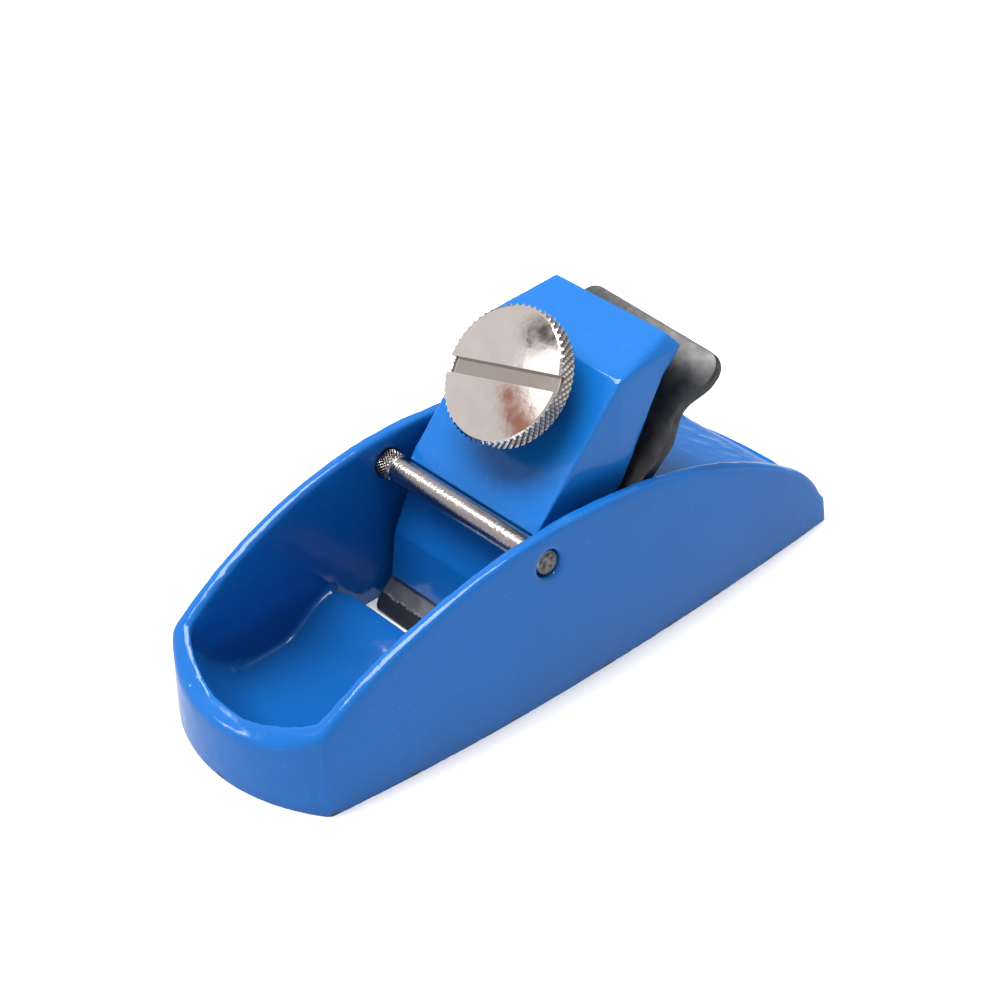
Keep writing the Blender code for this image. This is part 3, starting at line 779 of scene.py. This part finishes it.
# ---- materials -----------------------------------------------------------------------------------------
class Nodes:
    """A short way to write node trees."""

    def __init__(self, name):
        self.material = bpy.data.materials.new(name)
        self.material.use_nodes = True
        self.tree = self.material.node_tree
        self.shader = self.tree.nodes["Principled BSDF"]
        self.coords = self.tree.nodes.new("ShaderNodeTexCoord").outputs["Object"]

    def link(self, source, target):
        self.tree.links.new(source, target)

    def place(self, matrix):
        """Measure everything that follows in the coordinates of this placement."""
        node = self.tree.nodes.new("ShaderNodeMapping")
        node.vector_type = "TEXTURE"
        node.inputs["Location"].default_value = matrix.translation
        node.inputs["Rotation"].default_value = matrix.to_euler()
        self.link(self.coords, node.inputs["Vector"])
        self.coords = node.outputs["Vector"]

    def set(self, **values):
        """Plain values of the shader, named with underscores for spaces."""
        for name, value in values.items():
            self.shader.inputs[name.replace("_", " ")].default_value = value

    def noise(self, scale, detail=2.0, stretch=None):
        """Cloudy noise; a stretch below 1 draws it out along that axis."""
        node = self.tree.nodes.new("ShaderNodeTexNoise")
        node.inputs["Scale"].default_value = scale
        node.inputs["Detail"].default_value = detail
        source = self.coords
        if stretch is not None:
            mapping = self.tree.nodes.new("ShaderNodeMapping")
            mapping.inputs["Scale"].default_value = stretch
            self.link(self.coords, mapping.inputs["Vector"])
            source = mapping.outputs["Vector"]
        self.link(source, node.inputs["Vector"])
        return node.outputs["Fac"]

    def voronoi(self, scale):
        """Distance from the nearest of many scattered points."""
        node = self.tree.nodes.new("ShaderNodeTexVoronoi")
        node.inputs["Scale"].default_value = scale
        self.link(self.coords, node.inputs["Vector"])
        return node.outputs["Distance"]

    def axis(self, name, scale=None):
        """One coordinate, in metres or times a scale."""
        node = self.tree.nodes.new("ShaderNodeSeparateXYZ")
        self.link(self.coords, node.inputs[0])
        if scale is None:
            return node.outputs[name]
        return self.math("MULTIPLY", node.outputs[name], scale)

    def math(self, operation, first, second=0.0):
        """A sum on sockets or numbers."""
        node = self.tree.nodes.new("ShaderNodeMath")
        node.operation = operation
        for socket, value in zip(node.inputs, (first, second)):
            if isinstance(value, (int, float)):
                socket.default_value = value
            else:
                self.link(value, socket)
        return node.outputs[0]

    def ramp(self, source, *stops):
        """A colour ramp; its stops are (position, grey value or colour)."""
        node = self.tree.nodes.new("ShaderNodeValToRGB")
        elements = node.color_ramp.elements
        while len(elements) < len(stops):
            elements.new(0.5)
        for element, (position, value) in zip(elements, stops):
            colour = (value, value, value) if isinstance(value, (int, float)) else value
            element.position = position
            element.color = (*colour, 1.0)
        self.link(source, node.inputs["Fac"])
        return node.outputs["Color"]

    def mix(self, factor, first, second):
        """The first colour where the factor is 0, the second where it is 1."""
        node = self.tree.nodes.new("ShaderNodeMix")
        node.data_type = "RGBA"
        factor_input, first_input, second_input = node.inputs[0], node.inputs[6], node.inputs[7]
        for socket, value in ((factor_input, factor), (first_input, first), (second_input, second)):
            if isinstance(value, tuple):
                socket.default_value = (*value, 1.0)
            elif isinstance(value, (int, float)):
                socket.default_value = value
            else:
                self.link(value, socket)
        return node.outputs[2]

    def bump(self, height, distance, after=None):
        """Small relief, this many metres high, on top of an earlier one."""
        node = self.tree.nodes.new("ShaderNodeBump")
        node.inputs["Distance"].default_value = distance
        self.link(height, node.inputs["Height"])
        if after is not None:
            self.link(after, node.inputs["Normal"])
        return node.outputs["Normal"]


def enamel(name, colour, deeper, sole_chips_and_nose_shade):
    """Thick glossy enamel: uneven colour, orange peel, dust nibs and, on the body, chips at the sole and
    painted shade inside the nose.
    """
    m = Nodes(name)
    patchy = m.ramp(m.noise(90, 3), (0.35, 0.0), (0.65, 1.0))
    paint = m.mix(patchy, colour, deeper)
    specks = m.ramp(m.noise(2600, 1), (0.70, 0.0), (0.76, 1.0))
    paint = m.mix(m.math("MULTIPLY", specks, 0.18), paint, (0.10, 0.30, 0.75))
    rough = m.ramp(m.noise(300, 3), (0.3, 0.07), (0.7, 0.15))
    if sole_chips_and_nose_shade:
        # Painted shade: low inside the nose the enamel is darkened, standing for the shade that the walls
        # cast on the floor and the hump.
        inside = m.ramp(m.math("ABSOLUTE", m.axis("Y", DECIMETRES)), (0.130, 1.0), (0.136, 0.0))
        ahead = m.ramp(m.axis("X", DECIMETRES), (0.05, 0.0), (0.12, 1.0), (0.39, 1.0), (0.41, 0.0))
        deep = m.ramp(m.axis("Z", CENTIMETRES), (0.55, 1.0), (0.8, 0.0))
        nose_shade = m.math("MULTIPLY", m.math("MULTIPLY", inside, ahead), m.math("MULTIPLY", deep, 0.9))
        paint = m.mix(nose_shade, paint, (0.005, 0.076, 0.27))
        # The paint is chipped along the edge of the sole.
        low = m.ramp(m.axis("Z", MILLIMETRES), (0.0, 1.0), (0.9, 0.0))
        gaps = m.ramp(m.noise(420, 4), (0.60, 0.0), (0.63, 1.0))
        chips = m.math("MULTIPLY", low, gaps)
        paint = m.mix(chips, paint, (0.03, 0.03, 0.04))
        rough = m.mix(chips, rough, (0.6, 0.6, 0.6))
    m.link(paint, m.shader.inputs["Base Color"])
    m.link(rough, m.shader.inputs["Roughness"])
    peel = m.bump(m.noise(620, 2), 0.00002)
    fine = m.bump(m.noise(2400, 2), 0.000004, after=peel)
    nibs = m.bump(m.ramp(m.voronoi(140), (0.0, 1.0), (0.045, 0.0)), 0.00006, after=fine)
    m.link(nibs, m.shader.inputs["Normal"])
    m.set(IOR=1.4)
    return m.material


def ground_iron():
    """The bare sole, ground along its length."""
    m = Nodes("ground_iron")
    lines = m.noise(900, 3, stretch=(0.06, 1.0, 1.0))
    m.link(m.ramp(lines, (0.3, (0.30, 0.30, 0.31)), (0.7, (0.48, 0.48, 0.49))), m.shader.inputs["Base Color"])
    m.link(m.ramp(m.noise(150, 4), (0.3, 0.25), (0.7, 0.42)), m.shader.inputs["Roughness"])
    m.link(m.bump(lines, 0.00001), m.shader.inputs["Normal"])
    m.set(Metallic=1.0)
    return m.material


def blade_steel():
    """Black oxide on the faces, with a polished strip along the cutting edge, painted dark for the shaded
    nose that it mirrors, and scattered marks.
    """
    m = Nodes("blade_steel_fine")
    m.place(edge_frame())
    along = m.axis("Y", CENTIMETRES)
    ragged = m.math("ADD", along, m.math("MULTIPLY", m.noise(900, 4, stretch=(1.0, 0.25, 1.0)), -0.11))
    strip = m.ramp(ragged, (0.15, 1.0), (0.16, 0.0))
    burr = m.ramp(ragged, (0.135, 0.0), (0.152, 1.0), (0.167, 1.0), (0.185, 0.0))
    oxide = m.ramp(m.noise(700, 5), (0.3, (0.05, 0.05, 0.051)), (0.7, (0.08, 0.079, 0.078)))
    rust = m.ramp(m.noise(120, 4), (0.62, 0.0), (0.74, 0.5))
    oxide = m.mix(rust, oxide, (0.09, 0.075, 0.06))
    # The faces are paler towards the cutting edge.
    lower = m.ramp(along, (0.6, 1.0), (1.0, 0.0))
    oxide = m.mix(lower, oxide, (0.32, 0.315, 0.31))
    # Painted reflection: the polished strip is darkened to stand for the shaded nose that it mirrors.
    colour = m.mix(strip, oxide, (0.14, 0.14, 0.135))
    broken_burr = m.math("MULTIPLY", burr, m.ramp(m.noise(1500, 2), (0.45, 0.0), (0.6, 0.9)))
    colour = m.mix(broken_burr, colour, (0.75, 0.74, 0.70))
    m.link(colour, m.shader.inputs["Base Color"])
    rough = m.ramp(m.noise(500, 4), (0.3, 0.38), (0.7, 0.52))
    m.link(m.mix(strip, rough, (0.25, 0.25, 0.25)), m.shader.inputs["Roughness"])
    m.link(m.bump(m.noise(1600, 4), 0.000012), m.shader.inputs["Normal"])
    m.set(Metallic=0.85)
    return m.material


def blade_sides():
    """The lighter ground edges of the blade."""
    m = Nodes("blade_sides")
    m.place(blade_frame())
    lines = m.noise(1500, 3, stretch=(1.0, 0.15, 1.0))
    ground = m.ramp(lines, (0.3, (0.05, 0.05, 0.05)), (0.7, (0.10, 0.10, 0.098)))
    m.link(ground, m.shader.inputs["Base Color"])
    m.link(m.bump(lines, 0.00001), m.shader.inputs["Normal"])
    m.link(m.ramp(m.noise(600), (0.3, 0.35), (0.7, 0.5)), m.shader.inputs["Roughness"])
    m.set(Metallic=1.0)
    return m.material


def zinc():
    """The stud's dull plating, with faint clouding and fine scratches."""
    m = Nodes("zinc")
    clouds = m.ramp(m.noise(500, 4), (0.35, 0.0), (0.65, 1.0))
    m.link(m.mix(clouds, (0.62, 0.61, 0.58), (0.5, 0.49, 0.46)), m.shader.inputs["Base Color"])
    m.link(m.ramp(m.noise(1150, 3), (0.3, 0.2), (0.7, 0.35)), m.shader.inputs["Roughness"])
    m.link(m.bump(m.noise(1500, 3), 0.000006), m.shader.inputs["Normal"])
    m.set(Metallic=1.0)
    return m.material


def knurled_nickel():
    """The plating of the screw's head, duller in the grooves of the knurling and dark in the slot."""
    m = Nodes("nickel")
    m.place(screw_frame())
    clouds = m.ramp(m.noise(260, 4), (0.35, 0.0), (0.65, 1.0))
    plating = m.mix(clouds, (0.80, 0.76, 0.73), (0.74, 0.70, 0.67))
    square = m.math("ADD", m.math("POWER", m.axis("X"), 2.0), m.math("POWER", m.axis("Y"), 2.0))
    radius = m.math("SQRT", square)
    below_rim = m.math("MULTIPLY", m.math("SUBTRACT", HEAD_RADIUS, radius), MILLIMETRES)
    deep = m.ramp(below_rim, (0.12, 0.0), (0.4, 1.0), (0.7, 1.0), (0.85, 0.0))
    behind_face = m.ramp(m.axis("Z", -MILLIMETRES), (0.35, 0.0), (0.5, 1.0))
    grooves = m.math("MULTIPLY", deep, behind_face)
    in_slot = m.ramp(below_rim, (0.85, 0.0), (0.95, 1.0))
    # Depth below the face, in steps of 2 mm.
    depth = m.axis("Z", -500.0)
    slot_wall = m.math("MULTIPLY", in_slot, m.ramp(depth, (0.14, 0.0), (0.2, 1.0), (0.55, 1.0), (0.58, 0.0)))
    slot_floor = m.math("MULTIPLY", in_slot, m.ramp(depth, (0.57, 0.0), (0.59, 1.0)))
    plating = m.mix(slot_wall, plating, (0.12, 0.10, 0.09))
    plating = m.mix(slot_floor, plating, (0.50, 0.45, 0.41))
    m.link(m.mix(grooves, plating, (0.16, 0.14, 0.12)), m.shader.inputs["Base Color"])
    polish = m.ramp(m.noise(600, 3), (0.3, 0.05), (0.7, 0.13))
    m.link(m.mix(grooves, polish, (0.35, 0.35, 0.35)), m.shader.inputs["Roughness"])
    m.link(m.bump(m.noise(780, 3), 0.000006), m.shader.inputs["Normal"])
    m.set(Metallic=1.0)
    return m.material


def drawn_steel():
    """The cross pin: drawn lengthwise, with a dark knurled collar and a sheared near end."""
    m = Nodes("drawn_steel")
    streaks = m.noise(1100, 3, stretch=(1.0, 0.05, 1.0))
    steel = m.ramp(streaks, (0.3, (0.34, 0.32, 0.315)), (0.7, (0.45, 0.425, 0.42)))
    # Stations along the pin from its middle, in steps of 20 mm.
    steps = 50.0
    collar = m.ramp(m.axis("Y", -steps), (0.58, 0.0), (0.6, 0.85))
    end = m.ramp(m.axis("Y", steps), (0.752, 0.0), (0.757, 1.0))
    steel = m.mix(collar, steel, (0.16, 0.15, 0.14))
    torn = m.ramp(m.noise(2600, 4), (0.35, (0.06, 0.06, 0.06)), (0.65, (0.26, 0.25, 0.24)))
    m.link(m.mix(end, steel, torn), m.shader.inputs["Base Color"])
    polish = m.ramp(streaks, (0.3, 0.14), (0.7, 0.22))
    m.link(m.mix(end, polish, (0.45, 0.45, 0.45)), m.shader.inputs["Roughness"])
    rough_end = m.bump(m.noise(2600, 4), 0.00006, after=m.bump(streaks, 0.000004))
    m.link(rough_end, m.shader.inputs["Normal"])
    m.set(Metallic=1.0)
    return m.material


def paint_sole(obj, material):
    """Give the flat underside its own material."""
    obj.data.materials.append(material)
    for polygon in obj.data.polygons:
        if polygon.normal.z < -0.99 and polygon.center.z < 0.02 * MM:
            polygon.material_index = 1


# ---- stage -----------------------------------------------------------------------------------------------
def make_camera():
    """The viewpoint fitted to the body's outline."""
    azimuth = math.radians(139.63)
    elevation = math.radians(34.87)
    roll = math.radians(-2.07)
    distance = 321.97 * MM
    target = Vector((-4.77, -6.36, 11.39)) * MM
    right = Vector((math.cos(azimuth), math.sin(azimuth), 0))
    back = Vector((math.sin(azimuth) * math.cos(elevation), -math.cos(azimuth) * math.cos(elevation),
                   math.sin(elevation)))
    up = back.cross(right)
    rolled_right = right * math.cos(roll) + up * math.sin(roll)
    rolled_up = up * math.cos(roll) - right * math.sin(roll)
    data = bpy.data.cameras.new("camera")
    data.lens = 93.7
    data.sensor_width = 36
    data.clip_start = 0.01
    camera = bpy.data.objects.new("camera", data)
    camera.matrix_world = frame_matrix(target + back * distance, rolled_right, rolled_up, back)
    bpy.context.scene.collection.objects.link(camera)
    bpy.context.scene.camera = camera


def make_floor():
    """The white ground, just below the sole."""
    bm = bmesh.new()
    bmesh.ops.create_grid(bm, x_segments=1, y_segments=1, size=1.5)
    floor = add_mesh("floor", bm, Matrix.Translation((0, 0, -0.00003)))
    m = Nodes("floor_white")
    m.link(m.ramp(m.noise(30, 2), (0.3, 0.93), (0.7, 0.95)), m.shader.inputs["Base Color"])
    m.set(Roughness=0.6, Specular_IOR_Level=0.2)
    floor.data.materials.append(m.material)


def card(name, centre, u_axis, v_axis, outline, colour, strength):
    """A sheet beside the set that shows only in reflections; the outline is in millimetres."""
    bm = bmesh.new()
    bm.faces.new([bm.verts.new(centre + (u_axis * u + v_axis * v) * MM) for u, v in outline])
    obj = add_mesh(name, bm)
    material = bpy.data.materials.new(name)
    material.use_nodes = True
    shader = material.node_tree.nodes["Principled BSDF"]
    shader.inputs["Base Color"].default_value = (0.0, 0.0, 0.0, 1.0)
    shader.inputs["Specular IOR Level"].default_value = 0.0
    shader.inputs["Emission Color"].default_value = (*colour, 1.0)
    shader.inputs["Emission Strength"].default_value = strength
    obj.data.materials.append(material)
    obj.visible_camera = False
    obj.visible_diffuse = False
    obj.visible_shadow = False


def make_cards():
    """What the screw's polished face, the toe and the rear ramp mirror."""
    # Three sheets where the face's reflection of the camera goes.
    towards = Vector((0.5984, -0.6337, 0.4902)).normalized()
    u_axis = UP.cross(towards).normalized()
    v_axis = towards.cross(u_axis)
    centre = SCREW_FACE + towards * 350 * MM
    card("window_card", centre, u_axis, v_axis, [(-4, 13), (10, 34), (60, 60), (70, 8), (24, 4)],
         (1.0, 0.98, 0.95), 1.7)
    card("dark_card", centre, u_axis, v_axis, [(-19, 20), (-16, 34), (8, 44), (6, 33), (-5, 17)],
         (1.0, 0.9, 0.8), 0.12)
    card("brown_card", centre, u_axis, v_axis, [(0, -9), (10, 0), (70, 6), (60, -20), (24, -15)],
         (1.0, 0.45, 0.33), 0.42)
    card("floor_card", UP * 0.2 * MM, FORWARD, SIDEWAYS,
         [(-200, -300), (220, -300), (220, 250), (-200, 250)], (0.9, 0.94, 1.0), 0.95)
    behind = Vector((-0.78, -0.625, 0)).normalized()
    card("backdrop_card", FORWARD * -30 * MM + behind * 75 * MM, behind.cross(UP), UP,
         [(-90, 1), (90, 1), (90, 80), (-90, 80)], (0.7, 0.85, 1.0), 0.35)


def area_light(name, direction, distance, size, energy):
    """A square light that looks at the origin; sizes in metres, energy in watts."""
    data = bpy.data.lights.new(name, "AREA")
    data.shape = "SQUARE"
    data.size = size
    data.energy = energy
    light = bpy.data.objects.new(name, data)
    direction = Vector(direction).normalized()
    light.location = direction * distance
    light.rotation_mode = "QUATERNION"
    light.rotation_quaternion = direction.to_track_quat("Z", "Y")
    bpy.context.scene.collection.objects.link(light)


def make_light():
    """A pale room, brighter beyond the plane than on the camera's side, and two lights."""
    world = bpy.data.worlds.new("studio")
    world.use_nodes = True
    tree = world.node_tree
    background = tree.nodes["Background"]
    side = tree.nodes.new("ShaderNodeVectorMath")
    side.operation = "DOT_PRODUCT"
    side.inputs[1].default_value = (0.6, 1.0, 0.0)
    tree.links.new(tree.nodes.new("ShaderNodeTexCoord").outputs["Generated"], side.inputs[0])
    ramp = tree.nodes.new("ShaderNodeMapRange")
    ramp.inputs["From Min"].default_value = -0.3
    ramp.inputs["From Max"].default_value = 0.35
    ramp.inputs["To Min"].default_value = 0.78
    ramp.inputs["To Max"].default_value = 0.5
    tree.links.new(side.outputs["Value"], ramp.inputs["Value"])
    tree.links.new(ramp.outputs["Result"], background.inputs["Strength"])
    background.inputs["Color"].default_value = (1.0, 0.955, 0.95, 1.0)
    bpy.context.scene.world = world
    area_light("overhead", (0.08, -0.1, 1.0), 1.0, 0.55, 12.5)
    area_light("key", (0.3, -0.42, 0.86), 0.8, 0.3, 3.6)


# ---- build -----------------------------------------------------------------------------------------------
def settle(piece, node, body):
    """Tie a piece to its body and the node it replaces."""
    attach(piece, body)
    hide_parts(node)


def main():
    scene = bpy.context.scene
    scene.view_settings.view_transform = "Standard"
    make_camera()
    body = make_body()
    smooth(body, math.radians(60))
    paint = enamel("enamel", colour=(0.005, 0.110, 0.39), deeper=(0.005, 0.103, 0.37), sole_chips_and_nose_shade=True)
    body.data.materials.append(paint)
    paint_sole(body, ground_iron())
    settle(body, "body", "plane_body")

    blade = make_blade()
    settle(blade, "blade", "blade")

    cap = make_lever_cap()
    # Painted light: the cap's enamel is the body's blue made lighter, standing for the stronger light on the
    # cap's faces.
    paint = enamel("enamel_cap_painted_lighter", colour=(0.006, 0.125, 0.43), deeper=(0.006, 0.118, 0.41), sole_chips_and_nose_shade=False)
    cap.data.materials.append(paint)
    settle(cap, "lever_cap", "lever_cap")

    head = make_screw_head()
    head.data.materials.append(knurled_nickel())
    settle(head, "thumbscrew_head", "screw_head")

    stud = make_stud()
    stud.data.materials.append(zinc())
    settle(stud, "thumbscrew_stud", "screw_shank")

    pin = make_pin()
    pin.data.materials.append(drawn_steel())
    settle(pin, "cross_pin", "plane_body")

    make_floor()
    make_cards()
    make_light()


main()
